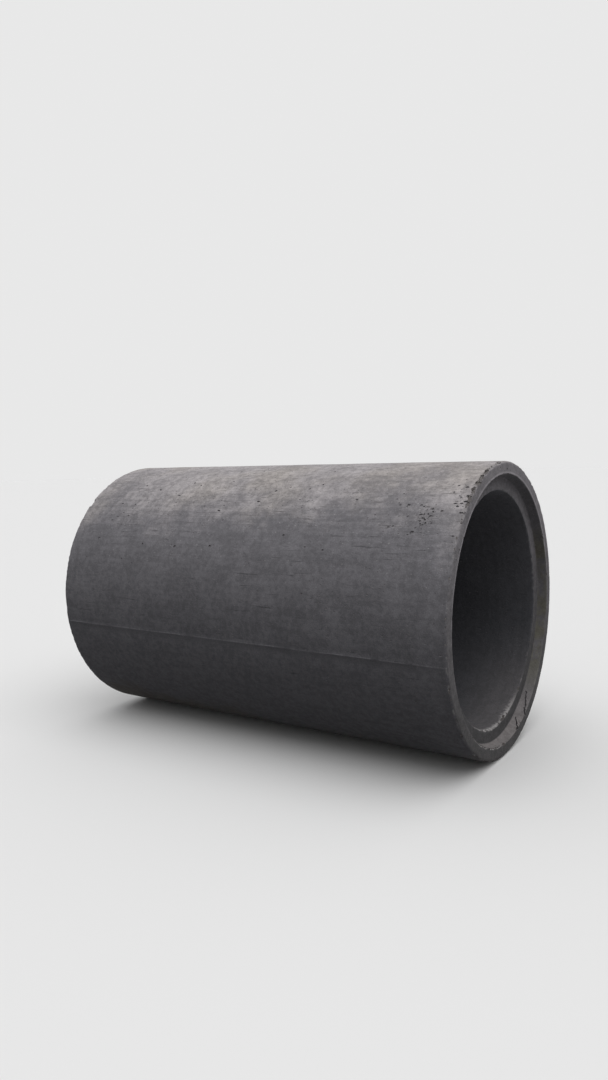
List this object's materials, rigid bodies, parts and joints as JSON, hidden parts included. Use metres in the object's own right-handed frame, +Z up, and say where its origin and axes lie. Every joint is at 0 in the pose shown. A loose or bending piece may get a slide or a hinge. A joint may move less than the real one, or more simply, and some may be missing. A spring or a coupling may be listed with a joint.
{
  "type": "concrete sewer pipe",
  "caption": "Precast concrete sewer pipe, a thick straight barrel with a recessed groove joint at one end and a stepped tongue at the other, laid on its side.",
  "frame": {"origin": "on the ground under the middle of the pipe's overall length", "axes": "+X along the pipe's axis towards the groove end, +Y square to it on the level, +Z up"},
  "size_m": [2.445, 1.4996, 1.5],
  "materials": {
    "concrete": "cast, dusty and weathered"
  },
  "bodies": {
    "root": {"pipe": "concrete"}
  },
  "joints": []
}
